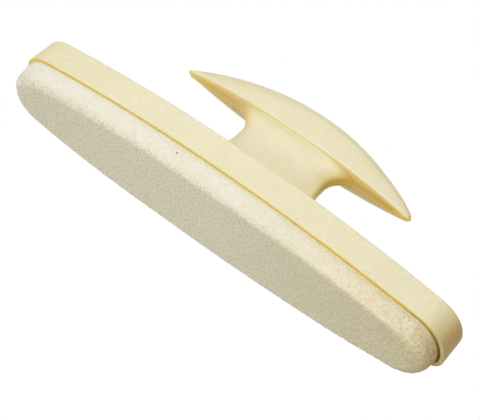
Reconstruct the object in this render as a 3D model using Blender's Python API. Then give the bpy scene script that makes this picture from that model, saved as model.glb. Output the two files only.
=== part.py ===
"""A chamois nail buffer: an ivory tray with a leaf-shaped grip on a waisted neck, and a pad in the tray.

The pad is a cartridge. A felt cushion lies under a wooden board, chamois leather is drawn up over both,
and its hem is stapled to the back of the board. The tray pushes down over the cartridge until the ribs under
its roof bear on the board, and lifts straight off when the leather is worn. Two screws inside the tray hold
the handle.

Units are metres. X runs along the buffer, Y across it and Z up. The working face of the leather is at Z = 0.
"""

import math

import bmesh
import bpy
from mathutils import Matrix, Vector

# Fits between pieces
SEAT_GAP = 0.0003
SCREW_GAP = 0.0003
STAPLE_GAP = 0.0003
PAD_CLEARANCE = 0.0005
PAD_END_CLEARANCE = 0.0012

# Plan of the tray, which every piece of the pad follows
TRAY_LENGTH = 0.1400
TRAY_WIDTH = 0.0306
TRAY_END_WIDTH = 0.0165
TRAY_CAP_LENGTH = 0.0078

# Section of the tray
TRAY_WALL = 0.0011
TRAY_ROOF = 0.0018
TRAY_DRAFT = 0.0006
TRAY_EDGE_RADIUS = 0.0008
LIP_RADIUS = 0.0003
POCKET_FILLET = 0.0006
RIB_THICKNESS = 0.0012
RIB_SPACING = 0.0200
RIB_PAIRS = 2
RIB_MARGIN = 0.0008

# Pad cartridge, from the working face upwards
LEATHER = 0.0009
BOARD_THICKNESS = 0.0035
STAPLE_WIRE = 0.0005
HEADROOM = 0.0011
PAD_DROP = 0.0066
PAD_SWELL = 0.0011
PAD_END_FULLNESS = 0.0016
PAD_CROWN_WIDTH = 0.0045
PAD_EDGE_HEIGHT = 0.0034
HEM_WIDTH = 0.0040

# Staples round the hem
STAPLE_CROWN = 0.0056
STAPLE_LEG = 0.0026
STAPLE_INSET = 0.0014
STAPLES_A_SIDE = 4
STAPLE_END_SPACE = 0.0150

# Handle: the foot on the tray, the waist of the neck, and the grip
NECK_HEIGHT = 0.0171
FOOT_LENGTH = 0.0515
FOOT_WIDTH = 0.0220
FOOT_EDGE = 0.0006
WAIST_HEIGHT = 0.0112
WAIST_LENGTH = 0.0280
WAIST_WIDTH = 0.0086
NECK_TOP_LENGTH = 0.0400
NECK_TOP_MARGIN = 0.0005
GRIP_LENGTH = 0.0746
GRIP_WIDTH = 0.0120
GRIP_RISE = 0.0109
GRIP_SPINE_RADIUS = 0.0710
GRIP_EDGE_RADIUS = 0.0005
GRIP_TIP_RADIUS = 0.0012
KEEL_DROP = 0.0005

# Handle screws
SCREW_SPACING = 0.0180
SCREW_LENGTH = 0.0100
SCREW_THREAD_RADIUS = 0.00145
SCREW_CORE_RADIUS = 0.00110
SCREW_PITCH = 0.00110
SCREW_POINT = 0.0014
SCREW_HEAD_RADIUS = 0.0028
SCREW_HEAD_RIM = 0.0002
RECESS_SPAN = 0.0030
RECESS_SLOT = 0.0007
RECESS_DEPTH = 0.0009
SCREW_HOLE_SPARE = 0.0006

CUT_OVERRUN = 0.0010
WELD_DISTANCE = 1e-6
SHARP_ANGLE = math.radians(32)

# Curve shapes: exponents of the rounded ovals, and how many steps a round stretch takes
BOW_POWER = 2.12
CAP_POWER = 2.5
CROWN_POWER = 3.0
NECK_OVAL = 2.5
FOOT_OVAL = 2.2
LEAF_POWER = 1.65
RECESS_TAPER_SHARE = 0.6
SCREW_TIP_SHARE = 0.25
SIDE_STEPS = 8
CAP_STEPS = 8
ROUND_STEPS = 4
CROWN_STEPS = 6
NECK_STEPS = 3
HANDLE_STEPS = 48
FLARE_STEPS = 7
UNDERSIDE_STEPS = 3
DOME_STEPS = 9
SCREW_STEPS = 16
THREAD_STEPS_A_TURN = 4

# Heights of the faces that pieces meet at
LIP_LEVEL = PAD_DROP
FELT_BOTTOM = LEATHER + SEAT_GAP
BOARD_BOTTOM = LIP_LEVEL + SEAT_GAP
BOARD_TOP = BOARD_BOTTOM + BOARD_THICKNESS
HEM_BOTTOM = BOARD_TOP + SEAT_GAP
HEM_TOP = HEM_BOTTOM + LEATHER
CROWN_BOTTOM = HEM_TOP + SEAT_GAP
CROWN_TOP = CROWN_BOTTOM + STAPLE_WIRE
CEILING_LEVEL = CROWN_TOP + HEADROOM
TRAY_TOP = CEILING_LEVEL + TRAY_ROOF
HANDLE_BASE = TRAY_TOP + SEAT_GAP
WAIST_LEVEL = TRAY_TOP + WAIST_HEIGHT
EDGE_LEVEL = TRAY_TOP + NECK_HEIGHT

# Insets from the tray's outer outline at the lip
PAD_INSET_AT_LIP = TRAY_WALL + PAD_CLEARANCE
PAD_INSET_AT_SWELL = PAD_INSET_AT_LIP - PAD_SWELL

IVORY_SATIN = ("ivory_satin", (0.80, 0.73, 0.49), 0.48, 0.0)
IVORY_GLOSS = ("ivory_gloss", (0.81, 0.74, 0.50), 0.26, 0.0)
CHAMOIS = ("chamois", (0.78, 0.72, 0.56), 0.95, 0.0)
FELT = ("wool_felt", (0.62, 0.58, 0.50), 1.0, 0.0)
BEECH = ("beech_board", (0.56, 0.38, 0.21), 0.62, 0.0)
STEEL = ("plated_steel", (0.62, 0.62, 0.60), 0.30, 1.0)


def clear_scene():
    for obj in list(bpy.data.objects):
        bpy.data.objects.remove(obj)


def material(name, colour, roughness, metallic):
    found = bpy.data.materials.get(name)
    if found:
        return found
    made = bpy.data.materials.new(name)
    made.use_nodes = True
    shader = made.node_tree.nodes["Principled BSDF"]
    shader.inputs["Base Color"].default_value = (*colour, 1.0)
    shader.inputs["Roughness"].default_value = roughness
    shader.inputs["Metallic"].default_value = metallic
    made.diffuse_color = (*colour, 1.0)
    return made


def new_object(name, form, finish):
    """An object with the shape in a bmesh, shaded smooth but for its sharp edges."""
    bmesh.ops.remove_doubles(form, verts=form.verts, dist=WELD_DISTANCE)
    bmesh.ops.recalc_face_normals(form, faces=form.faces)
    mesh = bpy.data.meshes.new(name)
    form.to_mesh(mesh)
    form.free()
    mesh.shade_smooth()
    mesh.set_sharp_from_angle(angle=SHARP_ANGLE)
    obj = bpy.data.objects.new(name, mesh)
    bpy.context.scene.collection.objects.link(obj)
    if finish:
        mesh.materials.append(material(*finish))
    return obj


def helper(obj):
    """Marks a cutter, which isn't a piece of the buffer."""
    obj.hide_render = True
    obj.display_type = "WIRE"
    return obj


def boolean(obj, tool, operation):
    step = obj.modifiers.new(operation.lower(), "BOOLEAN")
    step.operation = operation
    step.solver = "EXACT"
    step.object = tool


def skin(form, rings, closed_ends=True):
    """Faces between rings of points of one count, with a flat face on the first ring and on the last."""
    rows = [[form.verts.new(point) for point in ring] for ring in rings]
    for lower, upper in zip(rows, rows[1:]):
        for i in range(len(lower)):
            j = (i + 1) % len(lower)
            form.faces.new((lower[i], lower[j], upper[j], upper[i]))
    if closed_ends:
        form.faces.new(rows[0])
        form.faces.new(rows[-1])
    return rows


def oval_point(share, power):
    """A point on the quarter of a rounded oval of unit size, from its end at X to its side at Y."""
    turn = math.pi / 2 * share
    return math.cos(turn) ** (2 / power), math.sin(turn) ** (2 / power)


def half_width_at(x, inset, fullness=0.0):
    """Half the width of the tray's outline at a place along its bowed side, short of the rounded end."""
    bow = TRAY_WIDTH / 2 - TRAY_END_WIDTH / 2 - fullness
    return TRAY_WIDTH / 2 - bow * abs(x / (TRAY_LENGTH / 2)) ** BOW_POWER - inset


def plan(inset, fullness=0.0, shortening=0.0):
    """The tray's outline moved inwards: bowed sides and blunt rounded ends, anticlockwise from +X."""
    cap = TRAY_CAP_LENGTH * (1 - inset / (TRAY_END_WIDTH / 2))
    cap_start = TRAY_LENGTH / 2 - shortening - inset - cap
    quarter = []
    for i in range(CAP_STEPS):
        along, across = oval_point(i / CAP_STEPS, CAP_POWER)
        x = cap_start + cap * along
        quarter.append((x, half_width_at(x, inset, fullness) * across))
    for i in range(SIDE_STEPS):
        x = cap_start * (1 - i / SIDE_STEPS)
        quarter.append((x, half_width_at(x, inset, fullness)))
    upper = quarter + [(0.0, half_width_at(0.0, inset))] + [(-x, y) for x, y in reversed(quarter)]
    return upper + [(x, -y) for x, y in reversed(upper[1:-1])]


def tray_ring(inset, level):
    return [(x, y, level) for x, y in plan(inset)]


def pad_ring(inset, level, fullness=0.0):
    """A ring of the pad cartridge, whose ends stand further from the tray's wall than its sides do."""
    return [(x, y, level) for x, y in plan(inset, fullness, PAD_END_CLEARANCE - PAD_CLEARANCE)]


def round_off(radius, steps=ROUND_STEPS):
    """Offsets along and up a quarter round, from its flat end to its upright end."""
    angles = [math.pi / 2 * i / steps for i in range(steps + 1)]
    return [(radius * (1 - math.sin(a)), radius * (1 - math.cos(a))) for a in angles]


def draft_inset(level):
    """How far the tray's wall leans in at a level above the lip."""
    return TRAY_DRAFT * (level - LIP_LEVEL) / (TRAY_TOP - LIP_LEVEL)


def pad_inset(level):
    """Inset of the leather's outer face inside the tray, where it follows the drafted wall."""
    return PAD_INSET_AT_LIP + draft_inset(level)


def pad_rings(depth):
    """The pad's outside, or a skin some depth inside it: its crown, swollen edge and neck up to the lip."""
    width, height = PAD_CROWN_WIDTH - depth, PAD_EDGE_HEIGHT - depth
    swell = PAD_INSET_AT_SWELL + depth
    rings = []
    for i in range(CROWN_STEPS + 1):
        along, up = oval_point(i / CROWN_STEPS, CROWN_POWER)
        rings.append(pad_ring(swell + width * (1 - up), depth + height * (1 - along), PAD_END_FULLNESS))
    for i in range(1, NECK_STEPS + 1):
        share = i / NECK_STEPS
        drawn = 1 - math.cos(math.pi / 2 * share)
        level = PAD_EDGE_HEIGHT + (LIP_LEVEL - PAD_EDGE_HEIGHT) * share
        rings.append(pad_ring(swell + PAD_SWELL * drawn, level, PAD_END_FULLNESS * (1 - drawn)))
    return rings


BOARD_INSET = pad_inset(HEM_TOP) + LEATHER + SEAT_GAP
HEM_INNER_INSET = pad_inset(HEM_TOP) + HEM_WIDTH


def block(form, low, high):
    """A box between two corners."""
    size = Vector(high) - Vector(low)
    middle = (Vector(high) + Vector(low)) / 2
    place = Matrix.Translation(middle) @ Matrix.Diagonal((*size, 1.0))
    bmesh.ops.create_cube(form, size=1.0, matrix=place)


def circle(radius, level, steps=SCREW_STEPS):
    turns = [2 * math.pi * i / steps for i in range(steps)]
    return [(radius * math.cos(a), radius * math.sin(a), level) for a in turns]


def screw_places():
    return [(-SCREW_SPACING / 2, "left"), (SCREW_SPACING / 2, "right")]


def rib_places():
    return [side * RIB_SPACING * (i + 1) for i in range(RIB_PAIRS) for side in (-1, 1)]


def tray():
    """The moulded tray: a roof and a drafted wall with a round top edge, open below."""
    form = bmesh.new()
    rings = []
    for along, down in round_off(TRAY_EDGE_RADIUS):
        level = TRAY_TOP - down
        rings.append(tray_ring(draft_inset(level) + along, level))
    rings.append(tray_ring(0.0, LIP_LEVEL + LIP_RADIUS))
    for along, up in reversed(round_off(LIP_RADIUS, 2)[:-1]):
        rings.append(tray_ring(along, LIP_LEVEL + up))
    for along, up in round_off(LIP_RADIUS, 2):
        rings.append(tray_ring(TRAY_WALL - along, LIP_LEVEL + up))
    for along, down in reversed(round_off(POCKET_FILLET, 2)):
        level = CEILING_LEVEL - down
        rings.append(tray_ring(TRAY_WALL + draft_inset(level) + along, level))
    skin(form, rings)
    shell = new_object("tray", form, IVORY_SATIN)

    form = bmesh.new()
    for x in rib_places():
        reach = half_width_at(abs(x) + RIB_THICKNESS / 2, HEM_INNER_INSET) - RIB_MARGIN
        low = (x - RIB_THICKNESS / 2, -reach, BOARD_TOP + SEAT_GAP)
        high = (x + RIB_THICKNESS / 2, reach, CEILING_LEVEL + TRAY_ROOF / 2)
        block(form, low, high)
    boolean(shell, helper(new_object("rib_tool", form, None)), "UNION")

    form = bmesh.new()
    for x, _ in screw_places():
        profile = [
            (SCREW_HEAD_RADIUS + SCREW_GAP, CEILING_LEVEL - CUT_OVERRUN),
            (SCREW_HEAD_RADIUS + SCREW_GAP, CEILING_LEVEL + SCREW_HEAD_RIM),
            (SCREW_THREAD_RADIUS + SCREW_GAP, head_cone_end() + SCREW_HEAD_RIM),
            (SCREW_THREAD_RADIUS + SCREW_GAP, TRAY_TOP + CUT_OVERRUN),
        ]
        rings = [[(px + x, py, pz) for px, py, pz in circle(r, z)] for r, z in profile]
        skin(form, rings)
    boolean(shell, helper(new_object("countersink_tool", form, None)), "DIFFERENCE")
    return shell


def head_cone_end():
    """Level where the screw's 90 degree head cone reaches the shank."""
    return CEILING_LEVEL + SCREW_HEAD_RADIUS - SCREW_CORE_RADIUS


def oval(half_length, half_width, power, steps=HANDLE_STEPS):
    """A rounded oval, anticlockwise from +X."""
    points = []
    for i in range(steps):
        c, s = math.cos(2 * math.pi * i / steps), math.sin(2 * math.pi * i / steps)
        x = half_length * math.copysign(abs(c) ** (2 / power), c)
        y = half_width * math.copysign(abs(s) ** (2 / power), s)
        points.append((x, y))
    return points


def leaf_half_width(x, inset=0.0):
    """Half the width of the grip's leaf outline at a place along it."""
    share = min(abs(x) / (GRIP_LENGTH / 2 - inset), 1.0)
    return (GRIP_WIDTH / 2 - inset) * (1 - share**2) ** (LEAF_POWER / 2)


def leaf(inset=0.0, steps=HANDLE_STEPS):
    """The grip's outline seen from above: a leaf with a point at each end."""
    points = []
    for i in range(steps):
        c, s = math.cos(2 * math.pi * i / steps), math.sin(2 * math.pi * i / steps)
        x = (GRIP_LENGTH / 2 - inset) * c
        points.append((x, math.copysign(leaf_half_width(x, inset), s)))
    return points


def underside_level(x, y):
    """The grip's underside: a shallow keel along the middle, where the two side cores of the mould met."""
    width = max(leaf_half_width(x, GRIP_EDGE_RADIUS), WELD_DISTANCE)
    return EDGE_LEVEL - KEEL_DROP * (1 - min(abs(y) / width, 1.0))


def spine_rise(x):
    """Height of the grip's spine over its edge: a long arc that rounds off at the tips."""
    drop = GRIP_SPINE_RADIUS - math.sqrt(GRIP_SPINE_RADIUS**2 - x**2)
    rise = max(GRIP_RISE - drop - GRIP_EDGE_RADIUS, 0.0)
    over = abs(x) - (GRIP_LENGTH / 2 - GRIP_TIP_RADIUS)
    if over > 0.0:
        rise *= math.sqrt(max(1 - (over / GRIP_TIP_RADIUS) ** 2, 0.0))
    return rise


def mixed(first, last, share):
    return [(a + (b - a) * share, c + (d - c) * share) for (a, c), (b, d) in zip(first, last)]


def handle():
    """Foot, waisted neck and leaf grip in one moulding, as one stack of rings from the foot to the spine."""
    waist = oval(WAIST_LENGTH / 2, WAIST_WIDTH / 2, NECK_OVAL)
    foot = oval(FOOT_LENGTH / 2, FOOT_WIDTH / 2, FOOT_OVAL)
    neck_top = oval(NECK_TOP_LENGTH / 2, GRIP_WIDTH / 2 - NECK_TOP_MARGIN, NECK_OVAL)
    rings = [[(x, y, HANDLE_BASE) for x, y in foot]]
    for i in range(FLARE_STEPS):
        turn = math.pi / 2 * i / FLARE_STEPS
        level = HANDLE_BASE + FOOT_EDGE + (WAIST_LEVEL - HANDLE_BASE - FOOT_EDGE) * (1 - math.cos(turn))
        rings.append([(x, y, level) for x, y in mixed(foot, waist, math.sin(turn))])
    for i in range(FLARE_STEPS + 1):
        turn = math.pi / 2 * i / FLARE_STEPS
        ring = []
        for (x, y), (top_x, top_y) in zip(mixed(waist, neck_top, 1 - math.cos(turn)), neck_top):
            rise = (underside_level(top_x, top_y) - WAIST_LEVEL) * math.sin(turn)
            ring.append((x, y, WAIST_LEVEL + rise))
        rings.append(ring)
    under_rim = leaf(GRIP_EDGE_RADIUS)
    for i in range(1, UNDERSIDE_STEPS + 1):
        spread = mixed(neck_top, under_rim, i / UNDERSIDE_STEPS)
        rings.append([(x, y, underside_level(x, y)) for x, y in spread])
    for along, up in round_off(GRIP_EDGE_RADIUS, 2)[1:]:
        rings.append([(x, y, EDGE_LEVEL + up) for x, y in leaf(along)])
    rim = leaf()
    for i in range(1, DOME_STEPS + 1):
        turn = math.pi / 2 * i / DOME_STEPS
        rings.append([
            (x, y * math.cos(turn), EDGE_LEVEL + GRIP_EDGE_RADIUS + spine_rise(x) * math.sin(turn))
            for x, y in rim
        ])
    form = bmesh.new()
    rows = skin(form, rings, closed_ends=False)
    form.faces.new(rows[0])
    grip = new_object("handle", form, IVORY_GLOSS)

    form = bmesh.new()
    for x, _ in screw_places():
        profile = [
            (SCREW_THREAD_RADIUS + SCREW_GAP, HANDLE_BASE - CUT_OVERRUN),
            (SCREW_THREAD_RADIUS + SCREW_GAP, CEILING_LEVEL + SCREW_LENGTH + SCREW_HOLE_SPARE),
        ]
        rings = [[(px + x, py, pz) for px, py, pz in circle(r, z)] for r, z in profile]
        skin(form, rings)
    boolean(grip, helper(new_object("pilot_tool", form, None)), "DIFFERENCE")
    return grip


def thread_ring(level, shoulder, tip):
    """A ring of the shank, whose radius rises where the thread's helix passes and fades at both ends."""
    ring = []
    fade = min(1.0, (level - shoulder) / SCREW_PITCH, (tip - level) / SCREW_PITCH)
    for i in range(SCREW_STEPS):
        phase = (level / SCREW_PITCH - i / SCREW_STEPS) % 1.0
        crest = max(0.0, 1 - 2 * abs(phase - 0.5)) * max(fade, 0.0)
        radius = SCREW_CORE_RADIUS + (SCREW_THREAD_RADIUS - SCREW_CORE_RADIUS) * crest
        turn = 2 * math.pi * i / SCREW_STEPS
        ring.append((radius * math.cos(turn), radius * math.sin(turn), level))
    return ring


def screw_rings():
    """Rings of a countersunk self-tapping screw, head down, whose head face is at the origin."""
    cone_end = SCREW_HEAD_RADIUS - SCREW_CORE_RADIUS
    tip = SCREW_LENGTH - SCREW_POINT
    rings = [circle(SCREW_HEAD_RADIUS - SCREW_HEAD_RIM, 0.0)]
    rings.append(circle(SCREW_HEAD_RADIUS, SCREW_HEAD_RIM))
    rings.append(circle(SCREW_CORE_RADIUS, cone_end))
    steps = round((tip - cone_end) / SCREW_PITCH * THREAD_STEPS_A_TURN)
    for i in range(1, steps + 1):
        level = cone_end + (tip - cone_end) * i / steps
        rings.append(thread_ring(level, cone_end, tip))
    rings.append(circle(SCREW_CORE_RADIUS * SCREW_TIP_SHARE, SCREW_LENGTH))
    return rings


def cross_outline(span, slot):
    """A plus sign, anticlockwise."""
    arm, half = span / 2, slot / 2
    quarter = [(arm, -half), (arm, half), (half, half)]
    points = []
    for turn in range(4):
        c, s = round(math.cos(turn * math.pi / 2)), round(math.sin(turn * math.pi / 2))
        points += [(x * c - y * s, x * s + y * c) for x, y in quarter]
    return points


def recess_tool():
    """The cross recesses of both screws."""
    form = bmesh.new()
    mouth = cross_outline(RECESS_SPAN, RECESS_SLOT)
    floor = cross_outline(RECESS_SPAN * RECESS_TAPER_SHARE, RECESS_SLOT * RECESS_TAPER_SHARE)
    stack = [
        (mouth, CEILING_LEVEL - CUT_OVERRUN), (mouth, CEILING_LEVEL), (floor, CEILING_LEVEL + RECESS_DEPTH),
    ]
    for place, _ in screw_places():
        skin(form, [[(x + place, y, level) for x, y in outline] for outline, level in stack])
    return helper(new_object("recess_tool", form, None))


def handle_screws():
    tool = recess_tool()
    made = []
    for x, side in screw_places():
        form = bmesh.new()
        skin(form, screw_rings())
        screw = new_object(f"handle_screw_{side}", form, STEEL)
        screw.location = (x, 0.0, CEILING_LEVEL)
        boolean(screw, tool, "DIFFERENCE")
        made.append(screw)
    return made


def staple_places():
    """Middle and heading of each staple: along both long sides, and one across each end."""
    inset = HEM_INNER_INSET - STAPLE_INSET
    reach = TRAY_LENGTH / 2 - HEM_INNER_INSET - STAPLE_END_SPACE
    places = []
    for side in (-1, 1):
        for i in range(STAPLES_A_SIDE):
            x = -reach + 2 * reach * i / (STAPLES_A_SIDE - 1)
            step = STAPLE_CROWN / 2
            ahead, behind = half_width_at(x + step, inset), half_width_at(x - step, inset)
            heading = math.atan2(side * (ahead - behind), 2 * step)
            places.append((x, side * (ahead + behind) / 2, heading))
    for end in (-1, 1):
        places.append((end * (TRAY_LENGTH / 2 - inset), 0.0, math.pi / 2))
    return places


def staple_frame(place):
    x, y, heading = place
    return Matrix.Translation((x, y, 0.0)) @ Matrix.Rotation(heading, 4, "Z")


def staples():
    """Wire staples whose crowns lie on the hem and whose legs go down into the board."""
    half, wire = STAPLE_CROWN / 2, STAPLE_WIRE
    leg_end = HEM_BOTTOM - STAPLE_LEG
    outline = [
        (-half, leg_end), (-half + wire, leg_end), (-half + wire, CROWN_BOTTOM), (half - wire, CROWN_BOTTOM),
        (half - wire, leg_end), (half, leg_end), (half, CROWN_TOP), (-half, CROWN_TOP),
    ]
    for number, place in enumerate(staple_places(), 1):
        form = bmesh.new()
        skin(form, [[(x, y, z) for x, z in outline] for y in (-wire / 2, wire / 2)])
        form.transform(Matrix.Translation((0.0, 0.0, -CROWN_BOTTOM)))
        staple = new_object(f"hem_staple_{number:02d}", form, STEEL)
        staple.matrix_world = staple_frame(place) @ Matrix.Translation((0.0, 0.0, CROWN_BOTTOM))


def leg_tool():
    """Square shafts that clear the staples' legs through the hem and the board."""
    form = bmesh.new()
    half = STAPLE_WIRE / 2 + STAPLE_GAP
    for place in staple_places():
        for side in (-1, 1):
            middle = side * (STAPLE_CROWN - STAPLE_WIRE) / 2
            low, high = middle - half, middle + half
            corners = [(low, -half), (high, -half), (high, half), (low, half)]
            levels = (HEM_BOTTOM - STAPLE_LEG - STAPLE_GAP, CROWN_BOTTOM + CUT_OVERRUN)
            frame = staple_frame(place)
            skin(form, [[frame @ Vector((x, y, z)) for x, y in corners] for z in levels])
    return helper(new_object("leg_tool", form, None))


def chamois_cover():
    """The leather: one skin under and round the pad, folded in over the back of the board as a hem."""
    form = bmesh.new()
    rings = pad_rings(0.0)
    fold = HEM_TOP - LEATHER
    for along, down in reversed(round_off(LEATHER, 2)):
        rings.append(pad_ring(pad_inset(fold) + along, HEM_TOP - down))
    rings.append(pad_ring(HEM_INNER_INSET, HEM_TOP))
    rings.append(pad_ring(HEM_INNER_INSET, HEM_BOTTOM))
    rings.append(pad_ring(pad_inset(fold) + LEATHER, HEM_BOTTOM))
    rings += reversed(pad_rings(LEATHER))
    skin(form, rings)
    return new_object("chamois_cover", form, CHAMOIS)


def felt_pad():
    """The cushion between the leather and the board, with a round lower edge."""
    form = bmesh.new()
    skin(form, pad_rings(FELT_BOTTOM))
    return new_object("felt_pad", form, FELT)


def backing_board():
    form = bmesh.new()
    skin(form, [pad_ring(BOARD_INSET, BOARD_BOTTOM), pad_ring(BOARD_INSET, BOARD_TOP)])
    return new_object("backing_board", form, BEECH)


def pad_cartridge():
    """Leather, felt, board and staples, which stand on the table while the tray is lifted off."""
    legs = leg_tool()
    cover = chamois_cover()
    felt_pad()
    board = backing_board()
    staples()
    boolean(cover, legs, "DIFFERENCE")
    boolean(board, legs, "DIFFERENCE")


def tray_and_handle():
    """Tray, handle and screws, under an empty on the line that they lift along."""
    lift = bpy.data.objects.new("tray_and_handle", None)
    bpy.context.scene.collection.objects.link(lift)
    for piece in [tray(), handle(), *handle_screws()]:
        piece.parent = lift


def main():
    clear_scene()
    pad_cartridge()
    tray_and_handle()


main()
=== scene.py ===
"""A chamois nail buffer, dressed piece by piece round its packed solids, and laid out as a Blender add-on.

Units are metres. X runs along the buffer, Y across it and Z up. The working face of the leather is at Z = 0.
"""

import math
from collections import namedtuple

import bmesh
import bpy
import numpy as np
from mathutils import Matrix, Vector
from mathutils.kdtree import KDTree


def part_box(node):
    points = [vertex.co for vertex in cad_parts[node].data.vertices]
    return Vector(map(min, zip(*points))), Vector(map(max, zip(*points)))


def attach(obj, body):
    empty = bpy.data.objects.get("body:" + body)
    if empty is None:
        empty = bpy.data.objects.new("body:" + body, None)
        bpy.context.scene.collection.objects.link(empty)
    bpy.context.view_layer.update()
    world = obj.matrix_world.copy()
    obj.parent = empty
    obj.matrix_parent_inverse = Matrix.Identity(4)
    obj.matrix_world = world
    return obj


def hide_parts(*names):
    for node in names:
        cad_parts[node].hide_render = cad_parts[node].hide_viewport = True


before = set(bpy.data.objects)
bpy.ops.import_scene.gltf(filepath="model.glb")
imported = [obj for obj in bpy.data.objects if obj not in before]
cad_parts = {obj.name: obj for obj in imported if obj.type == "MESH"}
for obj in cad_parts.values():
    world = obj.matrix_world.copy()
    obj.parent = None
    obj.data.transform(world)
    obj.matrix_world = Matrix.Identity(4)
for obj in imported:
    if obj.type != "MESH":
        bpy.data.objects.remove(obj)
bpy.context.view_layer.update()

bl_info = {
    "name": "Nail Buffer",
    "version": (1, 0, 0),
    "blender": (4, 5, 0),
    "location": "View3D > Sidebar > Nail Buffer",
    "description": "Builds a chamois nail buffer with its tray, handle, pad cartridge and stage",
    "category": "Add Mesh",
}

CARTRIDGE = "pad_cartridge"
UPPER = "tray_and_handle"

TRAY_LOW, TRAY_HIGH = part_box("tray")
BOARD_LOW, BOARD_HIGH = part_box("backing_board")
HANDLE_LOW, HANDLE_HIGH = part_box("handle")
LEATHER_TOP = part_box("chamois_cover")[1].z

# Exponents of the rounded ovals that the outlines and sections follow
BOW_POWER = 2.12
CAP_POWER = 2.5
NECK_OVAL = 2.5
FOOT_OVAL = 2.2
LEAF_POWER = 1.65
FOOT_FILLET = 2.85
TOP_FILLET = 1.9

QUARTER = math.pi / 2
SMOOTH_ANGLE = math.radians(35)
WELD = 1e-6
# How far a flat runs in towards its middle line before it closes
FILLING_REACH = 0.86


def length(name, description, default):
    return bpy.props.FloatProperty(
        name=name, description=description, default=default,
        min=0.0, precision=5, unit="LENGTH", subtype="DISTANCE",
    )


def colour(name, description, default):
    return bpy.props.FloatVectorProperty(
        name=name, description=description, default=default, size=3, min=0.0, max=1.0, subtype="COLOR"
    )


def brightness(name, description, default):
    return bpy.props.FloatProperty(name=name, description=description, default=default, min=0.0, max=4.0)


def angle(name, description, degrees):
    return bpy.props.FloatProperty(
        name=name, description=description, default=math.radians(degrees), subtype="ANGLE", unit="ROTATION"
    )


class NAILBUFFER_PG_tray(bpy.types.PropertyGroup):
    """Sizes of the moulded tray"""

    length: length("Length", "From end to end", TRAY_HIGH.x - TRAY_LOW.x)
    width: length("Width", "Across the middle", TRAY_HIGH.y - TRAY_LOW.y)
    end_width: length("End width", "Where the bowed sides would reach the ends", 0.0165)
    cap_length: length("End rounding", "Length of each blunt rounded end", 0.0078)
    lip_level: length("Lip level", "Height of the tray's lower edge", TRAY_LOW.z)
    top_level: length("Top level", "Height of the tray's flat top", TRAY_HIGH.z)
    wall: length("Wall", "Thickness of the wall", 0.0011)
    roof: length("Roof", "Thickness of the roof", 0.0018)
    draft: length("Draft", "How far the wall leans in at its top", 0.0006)
    edge_radius: length("Edge radius", "Round of the top edge", 0.0008)
    lip_radius: length("Lip radius", "Round of the lip", 0.0003)
    pocket_fillet: length("Pocket fillet", "Round where wall and roof meet inside", 0.0006)
    rib_thickness: length("Rib thickness", "Thickness of the ribs that bear on the board", 0.0012)
    rib_spacing: length("Rib spacing", "Distance from rib to rib", 0.0200)
    plastic: colour("Tray plastic", "Colour of the satin ivory plastic", (0.79, 0.745, 0.52))


class NAILBUFFER_PG_handle(bpy.types.PropertyGroup):
    """Sizes of the handle and its screws"""

    foot_length: length("Foot length", "Along the tray", 0.0515)
    foot_width: length("Foot width", "Across the tray", 0.0220)
    foot_edge: length("Foot edge", "Height of the foot's upright rim", 0.0006)
    waist_height: length("Waist height", "From the tray's top to the narrowest part of the neck", 0.0112)
    waist_length: length("Waist length", "Along the tray", 0.0280)
    waist_width: length("Waist width", "Across the tray", 0.0086)
    neck_top_length: length("Neck top length", "Where the neck meets the grip", 0.0400)
    neck_top_margin: length("Neck top margin", "From the neck's top to the grip's edge", 0.0005)
    neck_height: length("Neck height", "From the tray's top to the grip's edge", 0.0171)
    grip_length: length("Grip length", "From tip to tip", HANDLE_HIGH.x - HANDLE_LOW.x)
    grip_width: length("Grip width", "Across the leaf", 0.0120)
    grip_rise: length("Grip rise", "From the edge to the spine", 0.0109)
    spine_radius: length("Spine radius", "Radius of the arc along the grip", 0.0710)
    spine_shift: length("Spine shift", "Top of the spine's arc, off the middle", 0.0005)
    edge_radius: length("Edge radius", "Round of the grip's rim", 0.0005)
    tip_radius: length("Tip radius", "Round of each tip", 0.0016)
    tip_fullness: length("Tip fullness", "How much the spine stands over its arc towards the tips", 0.0006)
    keel_drop: length("Keel drop", "How far the keel stands below the edge", 0.0005)
    screw_spacing: length("Screw spacing", "Distance between the handle screws", 0.0180)
    plastic: colour("Handle plastic", "Colour of the polished ivory plastic", (0.79, 0.75, 0.55))


class NAILBUFFER_PG_pad(bpy.types.PropertyGroup):
    """Sizes of the pad cartridge"""

    leather: length("Leather", "Thickness of the chamois", 0.0009)
    clearance: length("Side clearance", "Between leather and wall along the sides", 0.0005)
    end_clearance: length("End clearance", "Between leather and wall at the ends", 0.0012)
    hem: length("Hem", "Width of the hem on the back of the board", 0.0040)
    chamois: colour("Chamois", "Colour of the leather's nap", (0.882, 0.866, 0.757))
    felt: colour("Felt", "Colour of the pressed felt", (0.62, 0.58, 0.50))
    beech: colour("Beech", "Colour of the backing board", (0.56, 0.38, 0.21))
    nap_length: length("Nap length", "Length of a fibre of the nap", 0.0006)
    nap_count: bpy.props.IntProperty(
        name="Nap fibres", description="How many loose fibres stand out of the nap", default=5000, min=1
    )
    staple_wire: length("Staple wire", "Thickness of the staples' wire", 0.0005)


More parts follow.
